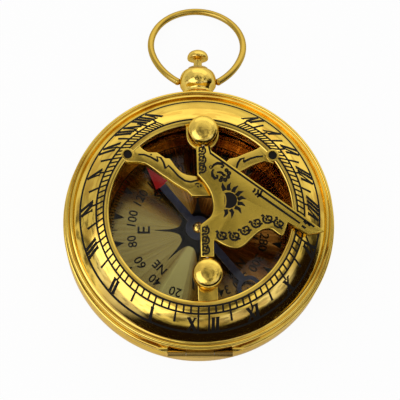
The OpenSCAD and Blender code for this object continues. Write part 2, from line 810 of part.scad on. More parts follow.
// Outline of the gnomon: two arms to the knobs, the straight shadow edge, the pen point
shadow_top = 11;
shadow_u = 1.6;
point_u = gnomon_reach / window_k;
point_v = shadow_top - (point_u - shadow_u) / tan(latitude);
arm_end = arm_v / window_k;
function gnomon_outline() = concat(
    [[-1.65, arm_end], [-1.6, 6.3]],
    curve([-1.5, 5.9], [-0.4, 4.6], [1, 2.9], [1.4, 0.9]),
    curve([1.5, 0.2], [1.75, -1], [1.7, -2.6], [0.85, -3.65]),
    [[-1.1, -5.15], [-1.35, -5.5], [-1.4, -arm_end], [1.5, -arm_end], [1.55, -8.85], [1.95, -8.85]],
    curve([2.2, -8.95], [3.6, -10], [6, -11.3], [7.6, -10.2]),
    curve([8.3, -9.7], [10.2, -7.9], [12, -5.6], [14.2, -6.75]),
    [[15.5, -7.9]],
    arc([15.95, -7.5], 0.6, 221, 335, 4),
    [[17.5, -5.15], [21.75, point_v - 0.75], [point_u - 1.6, point_v - 0.45],
    [point_u, point_v], [shadow_u, shadow_top], [1.35, arm_end]]);

// The half sun that is cut through the plate
sun_r = 1.85;
sun_u = 5;
sun_flat_u = 4.05;
module gnomon_plate() {
    color(dark_brass)
    on_dial()
        difference() {
            translate([0, 0, gnomon_z - gnomon_t / 2])
                linear_extrude(gnomon_t)
                    difference() {
                        polygon(window_k * gnomon_outline());
                        intersection() {
                            translate([sun_u, 0])
                                circle(r = sun_r);
                            translate([sun_flat_u, -sun_r])
                                square(2 * sun_r);
                        }
                    }
            for (side = [-1, 1])
                translate([0, side * (arm_v - 3), gnomon_z])
                    rotate([-side * 90, 0, 0])
                        cylinder(r = pin_d / 2, h = 5);
        }
}

module gnomon_pins() {
    color(steel)
    on_dial()
        for (side = [-1, 1])
            translate([0, side * (arm_v - 3), gnomon_z])
                rotate([-side * 90, 0, 0])
                    cylinder(r = pin_d / 2, h = 3 + arm_gap + pin_depth);
}

case_bowl();
case_knuckles();
hinge_pin();
lift_spring();
spring_screw();
compass_card();
needle_pivot();
compass_ring();
compass_glass();
glass_bezel();
pendant();
stem_bush();
button_spring();
push_button();
latch_hook();
bail();
compass_needle();
needle_cap();
hour_ring_lid();
lid_knuckle();
lid_catch();
upper_knob();
lower_knob();
knob_nuts();
gnomon_plate();
gnomon_pins();
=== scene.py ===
# Pocket sundial compass in polished brass, lying on its back with its domed lid shut.
# The hour ring, its window, the bridge and the folding gnomon are the lid of the compass bowl.
import math

import bmesh
import bpy
from mathutils import Matrix, Vector
from mathutils.bvhtree import BVHTree


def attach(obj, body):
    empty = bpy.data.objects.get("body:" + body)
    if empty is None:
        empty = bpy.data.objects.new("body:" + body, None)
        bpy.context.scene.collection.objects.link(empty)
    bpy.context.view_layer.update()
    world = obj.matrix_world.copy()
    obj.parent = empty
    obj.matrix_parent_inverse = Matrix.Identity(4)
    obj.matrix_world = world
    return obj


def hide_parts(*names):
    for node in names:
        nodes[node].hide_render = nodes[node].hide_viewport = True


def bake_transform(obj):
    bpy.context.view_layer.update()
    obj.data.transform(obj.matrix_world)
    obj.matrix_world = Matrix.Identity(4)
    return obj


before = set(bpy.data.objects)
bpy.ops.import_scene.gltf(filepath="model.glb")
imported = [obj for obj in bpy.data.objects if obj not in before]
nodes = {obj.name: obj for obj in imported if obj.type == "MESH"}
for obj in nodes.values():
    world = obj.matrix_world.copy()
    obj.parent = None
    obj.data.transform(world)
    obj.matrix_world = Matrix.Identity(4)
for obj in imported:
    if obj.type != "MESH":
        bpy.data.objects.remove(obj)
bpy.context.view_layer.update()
scene = bpy.context.scene

# Camera
# Nearly straight above the dial, a little from the hinge's side, with the picture turned so that
# the pendant points up. Lengths in this file are millimetres, and MM turns them into metres.
MM = 0.001
camera_side = math.radians(8.44)
camera_height = math.radians(74.41)
camera_roll = math.radians(8.39)
camera_distance = 300
aim = Vector((0, 0, 10))
picture = 400
pixels_per_mm = 4.514
aim_pixel = (199.13, 221.83)

towards = Vector((-math.sin(camera_side) * math.cos(camera_height),
                  -math.cos(camera_side) * math.cos(camera_height), math.sin(camera_height)))
level = Vector((math.cos(camera_side), -math.sin(camera_side), 0))
upward = towards.cross(level)
right = math.cos(camera_roll) * level + math.sin(camera_roll) * upward
up = math.cos(camera_roll) * upward - math.sin(camera_roll) * level
lens = bpy.data.cameras.new("camera")
lens.sensor_width = 36
lens.lens = lens.sensor_width * camera_distance / (picture / pixels_per_mm)
lens.shift_x = (picture / 2 - aim_pixel[0]) / picture
lens.shift_y = (aim_pixel[1] - picture / 2) / picture
camera = bpy.data.objects.new("camera", lens)
camera.matrix_world = (Matrix.Translation((aim + towards * camera_distance) * MM)
                       @ Matrix((right, up, towards)).transposed().to_4x4())
scene.collection.objects.link(camera)
scene.camera = camera

# Floor and studio light
# A plain pale floor just under the base, two wide soft lamps and a white surround. What the
# metal mirrors is a pale studio with bright windows, clutter and a dark open side in front.
scene.view_settings.view_transform = "Standard"


class Maths:
    """A node's output that takes part in plain arithmetic."""

    def __init__(self, tree, socket):
        self.tree = tree
        self.socket = socket

    def node(self, kind, inputs=(), output=0, **settings):
        """Adds a node, sets it, joins or fills its inputs and returns one output."""
        made = self.tree.nodes.new(kind)
        for key, value in settings.items():
            setattr(made, key, value)
        for key, value in dict(inputs).items():
            if isinstance(value, Maths):
                self.tree.links.new(value.socket, made.inputs[key])
            else:
                made.inputs[key].default_value = value
        return Maths(self.tree, made.outputs[output])

    def maths(self, operation, other, flip=False):
        pair = [other, self] if flip else [self, other]
        return self.node("ShaderNodeMath", enumerate(pair), operation=operation)

    def vector(self, operation, other=None, output=0):
        """The same for vectors; output 1 is a number."""
        inputs = {0: self} if other is None else {0: self, 1: other}
        return self.node("ShaderNodeVectorMath", inputs, output, operation=operation)

    def also(self, output):
        """Another output of the same node."""
        return Maths(self.tree, self.socket.node.outputs[output])

    def into(self, socket):
        self.tree.links.new(self.socket, socket)

    def __add__(self, other):
        return self.maths("ADD", other)

    __radd__ = __add__

    def __mul__(self, other):
        return self.maths("MULTIPLY", other)

    __rmul__ = __mul__

    def __sub__(self, other):
        return self.maths("SUBTRACT", other)

    def __rsub__(self, other):
        return self.maths("SUBTRACT", other, flip=True)

    def __gt__(self, other):
        return self.maths("GREATER_THAN", other)

    def step(self, low, high):
        """0 below low, 1 above high, smooth between."""
        return self.node("ShaderNodeMapRange", {0: self, 1: low, 2: high},
                         interpolation_type="SMOOTHSTEP")

    def mix(self, first, second):
        """A colour between two, by this factor."""
        return self.node("ShaderNodeMix", {0: self, 6: first, 7: second}, output=2, data_type="RGBA")


def colour(red, green, blue):
    return (red, green, blue, 1)


world = bpy.data.worlds.new("studio")
world.use_nodes = True
scene.world = world
background = world.node_tree.nodes["Background"]
sky = Maths(world.node_tree, background.outputs[0])
direction = sky.node("ShaderNodeTexCoord")
east = sky.node("ShaderNodeSeparateXYZ", {0: direction})
north = east.also(1)
high = east.also(2)
path = sky.node("ShaderNodeLightPath")


def lobe(way, wide, narrow):
    """1 within the narrow angle of a direction and 0 beyond the wide one, in degrees."""
    near = direction.vector("DOT_PRODUCT", Vector(way).normalized(), 1)
    return near.step(math.cos(math.radians(wide)), math.cos(math.radians(narrow)))


clutter = sky.node("ShaderNodeTexNoise", {"Vector": direction, "Scale": 3.4, "Detail": 4})
slivers = sky.node("ShaderNodeTexNoise", {"Vector": direction, "Scale": 9, "Detail": 3})
ceiling = high + 0.5 * (clutter - 0.5)
open_side = (0.35 * east - 0.94 * north).step(0.05, 0.42)
studio = 1 - open_side * high.step(-0.3, -0.15) * (1 - ceiling.step(0.42, 0.62))
busy = 1 - 0.85 * north.step(0.15, 0.5)
studio = studio * (1 - 0.8 * busy * clutter.step(0.53, 0.6))
studio = studio * (1 - 0.7 * busy * slivers.step(0.53, 0.58))
for way, wide, narrow, depth in (((0, 0.12, 1), 30, 8, 0.4), ((-0.85, 0.3, 0.5), 45, 20, 0.35),
                                 ((0.9, 0.1, 0.6), 35, 15, 0.25), ((0.05, -0.6, 0.8), 24, 10, 0.5)):
    studio = studio * (1 - depth * lobe(way, wide, narrow))
windows = lobe((-0.62, -0.33, 0.72), 33, 18)
for way, wide, narrow, strength in (((-0.78, -0.52, 0.35), 24, 10, 0.9),
                                    ((0.68, -0.39, 0.63), 17, 8, 0.9),
                                    ((0.34, -0.68, 0.64), 13, 5, 0.8),
                                    ((-0.06, -0.68, 0.73), 8, 3, 0.5)):
    windows = windows.maths("MAXIMUM", strength * lobe(way, wide, narrow))
windows = windows * (1 - 0.75 * slivers.step(0.52, 0.6))
studio = studio.mix(colour(0.01, 0.005, 0.002), colour(1, 0.98, 0.92))
studio = windows.mix(studio, colour(1, 1.06, 1.7))
lit = path.also("Is Glossy Ray").mix(colour(0.66, 0.66, 0.66), studio)
plain_white = path.also("Is Camera Ray").maths("MAXIMUM", path.also("Is Transmission Ray"))
plain_white.mix(lit, colour(1, 1, 1)).into(background.inputs["Color"])


def softbox(name, place, size, power):
    light = bpy.data.lights.new(name, "AREA")
    light.shape = "RECTANGLE"
    light.size = size[0] * MM
    light.size_y = size[1] * MM
    light.energy = power
    lamp = bpy.data.objects.new(name, light)
    here = Vector(place)
    turn = (here - aim).to_track_quat("Z", "Y")
    lamp.matrix_world = Matrix.Translation(here * MM) @ turn.to_matrix().to_4x4()
    scene.collection.objects.link(lamp)


softbox("key_light", (-230, -120, 330), (420, 320), 0.4)
softbox("back_light", (60, 330, 180), (500, 200), 0.12)


def blank_finish(name):
    """A new material, its shader and an output for its other nodes to start from."""
    made = bpy.data.materials.new(name)
    made.use_nodes = True
    shader = made.node_tree.nodes["Principled BSDF"]
    return made, shader, Maths(made.node_tree, shader.outputs[0])


def fill(shader, values):
    """Sets inputs of a shader by their names."""
    for name, value in values.items():
        shader.inputs[name].default_value = value


floor_half = 170
floor_gap = 0.02
floor_white = 0.94
floor_mesh = bmesh.new()
bmesh.ops.create_grid(floor_mesh, x_segments=1, y_segments=1, size=floor_half * MM)
bmesh.ops.translate(floor_mesh, vec=(0, 10 * MM, -floor_gap * MM), verts=floor_mesh.verts)
floor_data = bpy.data.meshes.new("floor")
floor_mesh.to_mesh(floor_data)
floor_mesh.free()
floor = bpy.data.objects.new("floor", floor_data)
scene.collection.objects.link(floor)
floor_material, floor_shader, paper = blank_finish("pale_floor")
fill(floor_shader, {"Base Color": colour(0.9, 0.9, 0.9), "Roughness": 0.8, "Specular IOR Level": 0})
glow = paper.node("ShaderNodeEmission", {"Color": colour(1, 1, 1)})
from_camera = paper.node("ShaderNodeLightPath").also("Is Camera Ray")
shown = paper.node("ShaderNodeMixShader", {0: floor_white * from_camera, 1: paper, 2: glow})
shown.into(floor_material.node_tree.nodes["Material Output"].inputs["Surface"])
floor_data.materials.append(floor_material)

# Case
# The bowl is turned from brass and polished: a round-edged base, a plain wall with one fine
# groove, a flange that the lid closes on and a thin lip inside it.
case_r = 30
case_h = 10.8


def material(name, tint, rough, dark=None, grain=0.0, patch=0.35, metal=True, turned=False):
    """A finish with slow changes of colour and gloss, fine marks if grain is above 0, and streaks round
    the axis if it was turned. The patches and streaks in the second colour are partly tarnish and partly
    painted reflection."""
    made, shader, start = blank_finish(name)
    place = start.node("ShaderNodeTexCoord", output=3)
    slow = start.node("ShaderNodeTexNoise", {"Vector": place, "Scale": 95, "Detail": 3})
    fine = start.node("ShaderNodeTexNoise", {"Vector": place, "Scale": 1500, "Detail": 2})
    # Patches, and streaks round the axis if turned, take the second colour: partly tarnish, partly
    # painted reflection.
    tarnish_and_painted_reflection = slow.step(0.48, 0.78) * patch
    if turned:
        flat = place.vector("MULTIPLY", (1, 1, 0))
        round_axis = flat.vector("NORMALIZE").vector("MULTIPLY", (3.6, 3.6, 0))
        radius = flat.vector("LENGTH", output=1)
        depth = start.node("ShaderNodeSeparateXYZ", {0: place}, output=2)
        across = start.node("ShaderNodeCombineXYZ", {2: 1100 * radius + 700 * depth})
        where = round_axis.vector("ADD", across)
        streak = start.node("ShaderNodeTexNoise", {"Vector": where, "Scale": 1, "Detail": 3})
        tarnish_and_painted_reflection = tarnish_and_painted_reflection.maths("MAXIMUM", patch * streak.step(0.53, 0.63))
    dark = dark or tuple(c * 0.55 for c in tint)
    tarnish_and_painted_reflection.mix(colour(*tint), colour(*dark)).into(shader.inputs["Base Color"])
    (rough + 0.12 * tarnish_and_painted_reflection + 0.05 * fine.step(0.45, 0.8)).into(shader.inputs["Roughness"])
    if metal:
        fill(shader, {"Metallic": 1, "Specular Tint": colour(1, 0.86, 0.5)})
    else:
        fill(shader, {"Metallic": 0, "Specular IOR Level": 0.1})
    if grain:
        bumps = {"Height": fine + 0.6 * slow, "Strength": grain, "Distance": 0.0001}
        start.node("ShaderNodeBump", bumps).into(shader.inputs["Normal"])
    return made


def spun(profile, steps=160):
    """Turns a closed outline of (radius, height) points on the lathe."""
    mesh = bmesh.new()
    verts = [mesh.verts.new((r, 0, z)) for r, z in profile]
    edges = [mesh.edges.new(pair) for pair in zip(verts, verts[1:] + verts[:1])]
    bmesh.ops.spin(mesh, geom=verts + edges, cent=(0, 0, 0), axis=(0, 0, 1),
                   angle=2 * math.pi, steps=steps, use_merge=True)
    bmesh.ops.remove_doubles(mesh, verts=mesh.verts, dist=0.001)
    loose = [edge for edge in mesh.edges if not edge.link_faces]
    bmesh.ops.delete(mesh, geom=loose, context="EDGES")
    bmesh.ops.recalc_face_normals(mesh, faces=mesh.faces)
    return mesh


def arc(centre, radius, start, end, count=8):
    """Points on a circle between two angles in degrees; radius may be a pair for an oval."""
    wide, tall = radius if isinstance(radius, tuple) else (radius, radius)
    angles = [math.radians(start + (end - start) * i / count) for i in range(count + 1)]
    return [(centre[0] + wide * math.cos(a), centre[1] + tall * math.sin(a)) for a in angles]


def curve(a, b, c, d, count=12):
    """Points on a smooth curve from a to d, drawn towards b and c."""
    steps = [i / count for i in range(count + 1)]
    shares = [((1 - t) ** 3, 3 * t * (1 - t) ** 2, 3 * t * t * (1 - t), t ** 3) for t in steps]
    return [tuple(i * p + j * q + k * r + m * s for p, q, r, s in zip(a, b, c, d))
            for i, j, k, m in shares]


def piece(name, mesh, body, slot, finish, *replaced):
    """Makes the object of a finished shape in millimetres, smooth except at sharp edges."""
    sharp = math.radians(32)
    bmesh.ops.scale(mesh, vec=(MM, MM, MM), verts=mesh.verts)
    for face in mesh.faces:
        face.smooth = True
    for edge in mesh.edges:
        edge.smooth = len(edge.link_faces) == 2 and edge.calc_face_angle(0) < sharp
    data = bpy.data.meshes.new(name)
    mesh.to_mesh(data)
    mesh.free()
    data.materials.append(finish)
    made = bpy.data.objects.new(name, data)
    scene.collection.objects.link(made)
    if body:
        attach(made, body)
    if replaced:
        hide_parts(*replaced)
    return made


def dress(finish, *names):
    """Gives solids of the frame a finish and leaves their shape."""
    for name in names:
        data = nodes[name].data
        data.materials.clear()
        data.materials.append(finish)


def cut(mesh, cutter):
    """Takes one closed shape out of another."""
    solid, tool = [bpy.data.objects.new("blank", bpy.data.meshes.new("blank")) for _ in range(2)]
    for holder, shape in ((solid, mesh), (tool, cutter)):
        shape.to_mesh(holder.data)
        shape.free()
        scene.collection.objects.link(holder)
    knife = solid.modifiers.new("knife", "BOOLEAN")
    knife.operation = "DIFFERENCE"
    knife.solver = "EXACT"
    knife.object = tool
    result = bmesh.new()
    result.from_mesh(solid.evaluated_get(bpy.context.evaluated_depsgraph_get()).to_mesh())
    for holder in (solid, tool):
        data = holder.data
        bpy.data.objects.remove(holder)
        bpy.data.meshes.remove(data)
    return result


def cut_all(mesh, cutters):
    for cutter in cutters:
        mesh = cut(mesh, cutter)
    return mesh


def box(size, centre):
    mesh = bmesh.new()
    bmesh.ops.create_cube(mesh, size=1)
    bmesh.ops.scale(mesh, vec=size, verts=mesh.verts)
    bmesh.ops.translate(mesh, vec=centre, verts=mesh.verts)
    return mesh


def rod(radius, start, end, segments=48):
    """A closed round bar between two points."""
    start, end = Vector(start), Vector(end)
    mesh = bmesh.new()
    turn = (end - start).to_track_quat("Z", "Y").to_matrix().to_4x4()
    bmesh.ops.create_cone(mesh, cap_ends=True, segments=segments, radius1=radius, radius2=radius,
                          depth=(end - start).length,
                          matrix=Matrix.Translation((start + end) / 2) @ turn)
    return mesh


def together(*meshes):
    """Joins shapes that lie apart into one."""
    whole = bmesh.new()
    for part in meshes:
        data = bpy.data.meshes.new("part")
        part.to_mesh(data)
        part.free()
        whole.from_mesh(data)
        bpy.data.meshes.remove(data)
    return whole


brass = material("polished_brass", (0.9, 0.625, 0.11), 0.07, dark=(0.5, 0.25, 0.03), grain=0.02,
                 patch=0.5, turned=True)
hinge_y = -29.5
trough_r = 1.2
hinge_w = 14
crown_z = 8
crown_hole_r = 2.32


def trough():
    """The round channel across the case and the lid that the knuckles turn in."""
    return rod(trough_r, (-case_r, hinge_y, case_h), (case_r, hinge_y, case_h))


def case_bowl():
    cavity_r, lip_r, floor_t, groove_z, groove_d = 27.2, 27.8, 1.6, 9.2, 0.25
    mesh = spun([(0, 0)] + arc((26, 3.4), (4, 3.4), -90, 0, 16)
                + curve((case_r, groove_z - 0.3), (case_r, groove_z - 0.1),
                        (case_r - groove_d, groove_z - 0.1), (case_r - groove_d, groove_z), 5)
                + curve((case_r - groove_d, groove_z), (case_r - groove_d, groove_z + 0.1),
                        (case_r, groove_z + 0.1), (case_r, groove_z + 0.3), 5)[1:]
                + arc((case_r - 0.45, case_h - 0.45), 0.45, 0, 90, 6)
                + [(lip_r, case_h), (lip_r, case_h + 0.7), (lip_r - 0.2, case_h + 0.9),
                   (cavity_r, case_h + 0.9), (cavity_r, floor_t), (0, floor_t)])
    hinge_seat = box((hinge_w + 0.1, 3, 6), (0, hinge_y + 0.15, case_h))
    crown_hole = rod(crown_hole_r, (0, 26, crown_z), (0, 32, crown_z))
    catch_way = box((6.8, 2.4, 2), (0, 27.2, case_h + 1))
    return cut_all(mesh, (trough(), hinge_seat, crown_hole, catch_way))


piece("case_turned", case_bowl(), "case", "brass", brass, "case_bowl")

# Hinge
# Three knuckles, coloured dark brass as painted shade of the hinge's recess, turn on a steel pin. A bent
# steel strip, held by a slotted screw, pushes the lid open when the button lets go of it.
steel = material("bright_steel", (0.62, 0.62, 0.62), 0.22, grain=0.05)
# The dark brass on the knuckles and in the hollows beside the hinge is painted shade.
dark_brass = material("dark_brass", (0.46, 0.3, 0.08), 0.2, dark=(0.16, 0.08, 0.02), grain=0.1,
                      patch=0.8)
dress(dark_brass, "case_knuckles", "lid_knuckle")
dress(brass, "lid_catch")
dress(steel, "hinge_pin", "lift_spring", "spring_screw", "latch_hook", "needle_pivot")

# Compass
# A printed card of dull brass lies in the bowl under a turned ring, a flat glass and its bezel.
# Its rose, its degrees and its letters are printed in black, with the letters' tops outwards.
# The ring's deep red-brown is painted shade and reflection, and its bright orange patches are painted
# glints.
ring_painted_shade_and_glints = material("ring_painted_shade_and_glints", (0.38, 0.12, 0.02), 0.14, dark=(1, 0.52, 0.14), grain=0.08,
                      patch=1.0, turned=True)


def on_card(radius, bearing):
    """A place on the card: bearings run clockwise from north, which lies at the hinge."""
    a = math.radians(bearing)
    return (-radius * math.sin(a), -radius * math.cos(a))


card_brass, card_shader, card_start = blank_finish("card_painted_sheen")
card_place = card_start.node("ShaderNodeTexCoord", output=3)
outward = card_place.vector("MULTIPLY", (1, 1, 0)).vector("NORMALIZE")


def fan(bearing, wide, narrow):
    """A bright fan of painted sheen, about one direction on the card."""
    way = Vector((*on_card(1, bearing), 0))
    near = outward.vector("DOT_PRODUCT", way, 1)
    return near.step(math.cos(math.radians(wide)), math.cos(math.radians(narrow)))


# The bright fans are painted sheen of the brushing; the noise streaks are the brushing itself.
painted_sheen_fans = fan(22, 16, 4) + 0.5 * fan(75, 50, 15) + 0.35 * fan(255, 40, 15) + 0.7 * fan(205, 16, 4)
streaks = card_start.node("ShaderNodeTexNoise", {"Vector": outward, "Scale": 26, "Detail": 3})
sheen = 0.75 * painted_sheen_fans + 0.8 * (streaks - 0.42)
painted_sheen_colour = sheen.mix(colour(0.3, 0.17, 0.025), colour(0.8, 0.74, 0.27))
# Away from bearing 60 the card is red-brown: painted shade under the lid and painted reflection of the
# copper-coloured ring.
painted_shade_and_ring_reflection = streaks.step(0.46, 0.66).mix(colour(0.3, 0.12, 0.02), colour(0.62, 0.3, 0.06))
fan(60, 125, 80).mix(painted_shade_and_ring_reflection, painted_sheen_colour).into(card_shader.inputs["Base Color"])
(0.1 + 0.16 * streaks).into(card_shader.inputs["Roughness"])
fill(card_shader, {"Metallic": 1})
scored = card_start.node("ShaderNodeBump", {"Height": streaks, "Strength": 0.1, "Distance": 0.0001})
scored.into(card_shader.inputs["Normal"])
dress(card_brass, "compass_card")
dress(ring_painted_shade_and_glints, "compass_ring", "glass_bezel")
black_ink = material("black_ink", (0.01, 0.009, 0.006), 0.5, metal=False)

card_top = 2.5
ink_rise = 0.02


def bar(mesh, start, end, width, end_width=None, segments=1):
    """A flat stroke in the XY plane from start to end."""
    start, end = Vector(start).to_2d(), Vector(end).to_2d()
    along = end - start
    turn = Matrix.Rotation(math.atan2(along.y, along.x), 4, "Z")
    middle = Matrix.Translation(((start + end) / 2).to_3d())
    size = Matrix.Diagonal((along.length, width, 1, 1))
    made = bmesh.ops.create_grid(mesh, x_segments=segments, y_segments=1, size=0.5,
                                 matrix=middle @ turn @ size)["verts"]
    if end_width:
        side = Vector((-along.y, along.x)).normalized()
        for vert in made:
            flat = vert.co.to_2d()
            share = (flat - start).dot(along) / along.length_squared
            off = (flat - start).dot(side)
            wanted = off * (1 + (end_width / width - 1) * share)
            vert.co += (side * (wanted - off)).to_3d()


def ring_band(mesh, radius, width, start=0, end=360, centre=(0, 0), segments=None):
    """A flat band along a circle, angles in degrees anticlockwise from +X."""
    first = math.radians(start)
    away = Vector((math.cos(first), math.sin(first), 0))
    middle = Vector((centre[0], centre[1], 0))
    verts = [mesh.verts.new(middle + away * (radius + off)) for off in (-width / 2, width / 2)]
    edge = mesh.edges.new(verts)
    steps = segments or max(4, int(abs(end - start) * max(radius, 4) / 60))
    bmesh.ops.spin(mesh, geom=verts + [edge], cent=middle, axis=(0, 0, 1),
                   angle=math.radians(end - start), steps=steps, use_merge=end - start == 360)


def lettering(mesh, words, size, place, turn, bold=0.0):
    """Plain capital letters or numbers, centred on a place and turned in degrees."""
    font = bpy.data.curves.new("lettering", "FONT")
    font.body = words
    font.size = size
    font.align_x = "CENTER"
    font.align_y = "CENTER"
    font.offset = bold
    font.resolution_u = 3
    holder = bpy.data.objects.new("lettering", font)
    scene.collection.objects.link(holder)
    flat = holder.evaluated_get(bpy.context.evaluated_depsgraph_get()).to_mesh()
    flat.transform(Matrix.Translation((*place, 0)) @ Matrix.Rotation(math.radians(turn), 4, "Z"))
    mesh.from_mesh(flat)
    bpy.data.objects.remove(holder)
    bpy.data.curves.remove(font)


def lay_flat(mesh, height):
    """Faces a flat print upwards at one height."""
    bmesh.ops.remove_doubles(mesh, verts=mesh.verts, dist=0.0005)
    bmesh.ops.recalc_face_normals(mesh, faces=mesh.faces)
    down = [face for face in mesh.faces if face.normal.z < 0]
    bmesh.ops.reverse_faces(mesh, faces=down)
    bmesh.ops.translate(mesh, vec=(0, 0, height), verts=mesh.verts)
    return mesh


def ribbon(mesh, points, widths):
    """A flat stroke along a row of points, with a width at each."""
    points = [Vector(p).to_2d() for p in points]
    if not isinstance(widths, (list, tuple)):
        widths = [widths] * len(points)
    edge = None
    for i, (place, width) in enumerate(zip(points, widths)):
        along = (points[min(i + 1, len(points) - 1)] - points[max(i - 1, 0)]).normalized()
        side = Vector((-along.y, along.x)) * width / 2
        if edge is None:
            edge = mesh.edges.new([mesh.verts.new((*place, 0)) for _ in range(2)])
        else:
            made = bmesh.ops.extrude_edge_only(mesh, edges=[edge])["geom"]
            edge = next(g for g in made if isinstance(g, bmesh.types.BMEdge))
        for vert, sign in zip(edge.verts, (1, -1)):
            vert.co = (place + side * sign).to_3d()


def card_print():
    """The rose, the scale of degrees with its wedges and numbers, and the letters."""
    numbers_r, letters_r, scale_r, tick_in_r, long_tick_in_r = 15, 12.1, 20.4, 19.1, 18.2
    mesh = bmesh.new()
    for bearing in range(0, 360, 45):
        ribbon(mesh, [on_card(r, bearing) for r in (3.4, 4.4, 5.2, 6.4, 9.8)],
               [3.2, 1.7, 1.05, 0.6, 0.08])
    ring_band(mesh, 3.1, 2.2)
    for bearing in range(0, 360, 2):
        inner = tick_in_r if bearing % 10 else long_tick_in_r
        bar(mesh, on_card(inner, bearing), on_card(scale_r, bearing), 0.17)
    for bearing in range(0, 360, 20):
        bar(mesh, on_card(17, bearing), on_card(19.2, bearing), 0.1, 1.7)
        if bearing:
            lettering(mesh, str(bearing), 2.85, on_card(numbers_r, bearing), 180 - bearing, 0.045)
    ring_band(mesh, scale_r + 0.1, 0.25)
    for words, bearing, size in (("N", 0, 4), ("E", 90, 4), ("S", 180, 4), ("W", 270, 4),
                                 ("NE", 45, 2.7), ("SE", 135, 2.7), ("SW", 225, 2.7), ("NW", 315, 2.7)):
        lettering(mesh, words, size, on_card(letters_r, bearing), 180 - bearing, 0.06)
    return lay_flat(mesh, card_top + ink_rise)


piece("card_print", card_print(), "case", "card", black_ink)

# The glass shows only what it mirrors, more of it at a flat angle.
glass, glass_shader, glass_start = blank_finish("flat_glass")
fill(glass_shader, {"Base Color": colour(1, 1, 1), "Roughness": 0.02, "Metallic": 1})
gleam = glass_start.node("ShaderNodeFresnel", {"IOR": 1.45})
(0.35 * gleam).into(glass_shader.inputs["Alpha"])
dress(glass, "compass_glass")

# Needle
# A blued steel needle with a red arrow, a disc in the middle, a ring on its tail and a brass
# cap that runs on a steel point.
needle_turn = 39.5
red_from = 12.7
blued, blued_shader, blued_start = blank_finish("blued_steel")
needle_place = blued_start.node("ShaderNodeTexCoord", output=3)
along_needle = blued_start.node("ShaderNodeMapping", {"Vector": needle_place,
                                                      "Rotation": (0, 0, math.radians(-needle_turn))})
forward = blued_start.node("ShaderNodeSeparateXYZ", {0: along_needle}, output=1)
red = forward > red_from * MM
cloud = blued_start.node("ShaderNodeTexNoise", {"Vector": needle_place, "Scale": 900})
steel_tint = cloud.mix(colour(0.03, 0.035, 0.06), colour(0.09, 0.1, 0.15))
red.mix(steel_tint, colour(0.6, 0.004, 0.004)).into(blued_shader.inputs["Base Color"])
(0.75 * (1 - red)).into(blued_shader.inputs["Metallic"])
(0.3 + 0.1 * cloud).into(blued_shader.inputs["Roughness"])
fill(blued_shader, {"Specular IOR Level": 0.3})
dress(blued, "compass_needle")
dress(brass, "needle_cap")

# Lid
# The domed hour ring is one brass turning: a rolled edge round the window, a minute track, a
# sloping band for the numerals, and a hollow and a bead at the rim, with the bridge let in.
lid_r = 29.35
lid_in_r = 28.1
band_r = 26.05
track_r = 22.5
crest_r = 20.9
window_r = 19.75
crest_z = 18.8
track_z = 17.8
band_z = 16.1
cove_z = 14.1
lid_z = 10.9
bridge_z = 18.2
bridge_low = 17
bridge_rise = 0.35
boss_at_r = window_r + 0.55
boss_hole_r = 0.95
boss_angle = math.radians(38.9)
bosses = [(side * boss_at_r * math.cos(boss_angle), boss_at_r * math.sin(boss_angle))
          for side in (-1, 1)]
dial_turn = math.radians(1.5)
dial_middle = Vector((0.95, 1.7, 0))
post_v = 15.95
on_dial = Matrix.Translation(dial_middle) @ Matrix.Rotation(dial_turn, 4, "Z")
posts = [on_dial @ Vector((0, side * post_v, 0)) for side in (1, -1)]
seat_r = 2.76
pocket_r = 12
pocket_top = 13.4
pocket_at_r = lid_r - 0.5 + pocket_r
pockets = [(pocket_at_r * math.cos(math.radians(a)), pocket_at_r * math.sin(math.radians(a)))
           for a in (-111, -69.5)]


def boss_drills():
    return [rod(boss_hole_r, (x, y, 10), (x, y, 25)) for x, y in bosses]


def lid_cutters():
    """What is cut out of the ring: the trough, a notch for the middle knuckle, two hollows beside
    the hinge, two holes and the knobs' two seats."""
    notch = box((6, 3, 1.9), (0, hinge_y + 0.1, lid_z + 0.85))
    hollows = [rod(pocket_r, (x, y, 10), (x, y, pocket_top), 160) for x, y in pockets]
    seats = [rod(seat_r, (post.x, post.y, bridge_z), (post.x, post.y, 25)) for post in posts]
    return [trough(), notch] + hollows + boss_drills() + seats


def hour_ring():
    bead_r = 0.45
    cove_r = lid_r - 2 * bead_r
    outside = ([(lid_in_r, lid_z), (lid_r - 0.3, lid_z), (lid_r - 0.1, lid_z + 0.08),
                (lid_r, lid_z + 0.3)]
               + arc((lid_r - bead_r, cove_z), bead_r, 0, 150, 12)
               + curve((cove_r, cove_z), (cove_r - 0.6, cove_z - 0.02), (cove_r - 0.8, cove_z + 0.3),
                       (cove_r - 1.2, cove_z + 0.75), 14)
               + curve((band_r, band_z), (band_r - 1.8, band_z + 1.6),
                       (track_r, crest_z - 0.3), (crest_r, crest_z), 40)
               + curve((crest_r - 0.15, crest_z), (window_r + 0.15, crest_z),
                       (window_r, crest_z - 0.1), (window_r, crest_z - 0.35), 10))
    inside = [(window_r, bridge_low), (crest_r + 0.1, bridge_low), (track_r, track_z - 1.3),
              (band_r - 0.3, band_z - 1.3), (lid_in_r, cove_z - 0.9)]
    return cut_all(spun(outside + inside, 240), lid_cutters())


